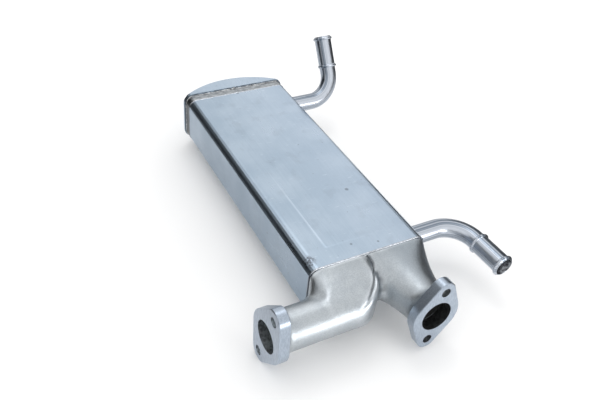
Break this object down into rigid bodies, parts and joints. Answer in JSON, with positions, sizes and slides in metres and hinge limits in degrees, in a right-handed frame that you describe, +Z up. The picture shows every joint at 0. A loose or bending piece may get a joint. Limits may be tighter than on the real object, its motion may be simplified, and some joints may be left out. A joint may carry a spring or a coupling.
{
  "type": "egr cooler",
  "caption": "Flat exhaust gas recirculation cooler with a cast manifold of two flanged gas ports, a return tank at the far end and bent coolant pipes on one side.",
  "frame": {"origin": "middle of the bounding box's underside", "axes": "+Y along the core from the gas ports to the return tank, +X towards the side of the coolant pipes, +Z up out of the core's broad face"},
  "size_m": [0.2512, 0.3932, 0.1137],
  "materials": {
    "shell_steel": "satin rolled sheet",
    "cast_steel": "matte as cast",
    "pipe_steel": "bright drawn tube",
    "tinted_steel": "heat-tinted sheet",
    "inner_steel": "dull brazed sheet"
  },
  "bodies": {
    "root": {"shell": "shell_steel", "end_cap": "shell_steel", "far_header": "tinted_steel", "gas_manifold": "cast_steel", "near_coolant_pipe": "pipe_steel", "far_coolant_pipe": "pipe_steel", "near_weld": "shell_steel", "far_shell_weld": "tinted_steel", "far_tank_weld": "tinted_steel", "near_pipe_weld": "pipe_steel", "far_pipe_weld": "pipe_steel", "near_header": "inner_steel", "tube_support_1": "inner_steel", "tube_support_2": "inner_steel", "tube_support_3": "inner_steel", "gas_tube_left_1": "inner_steel", "gas_tube_left_2": "inner_steel", "gas_tube_left_3": "inner_steel", "gas_tube_left_4": "inner_steel", "gas_tube_left_5": "inner_steel", "gas_tube_right_1": "inner_steel", "gas_tube_right_2": "inner_steel", "gas_tube_right_3": "inner_steel", "gas_tube_right_4": "inner_steel", "gas_tube_right_5": "inner_steel", "gas_fin_left_1": "inner_steel", "gas_fin_left_2": "inner_steel", "gas_fin_left_3": "inner_steel", "gas_fin_left_4": "inner_steel", "gas_fin_left_5": "inner_steel", "gas_fin_right_1": "inner_steel", "gas_fin_right_2": "inner_steel", "gas_fin_right_3": "inner_steel", "gas_fin_right_4": "inner_steel", "gas_fin_right_5": "inner_steel"}
  },
  "joints": []
}
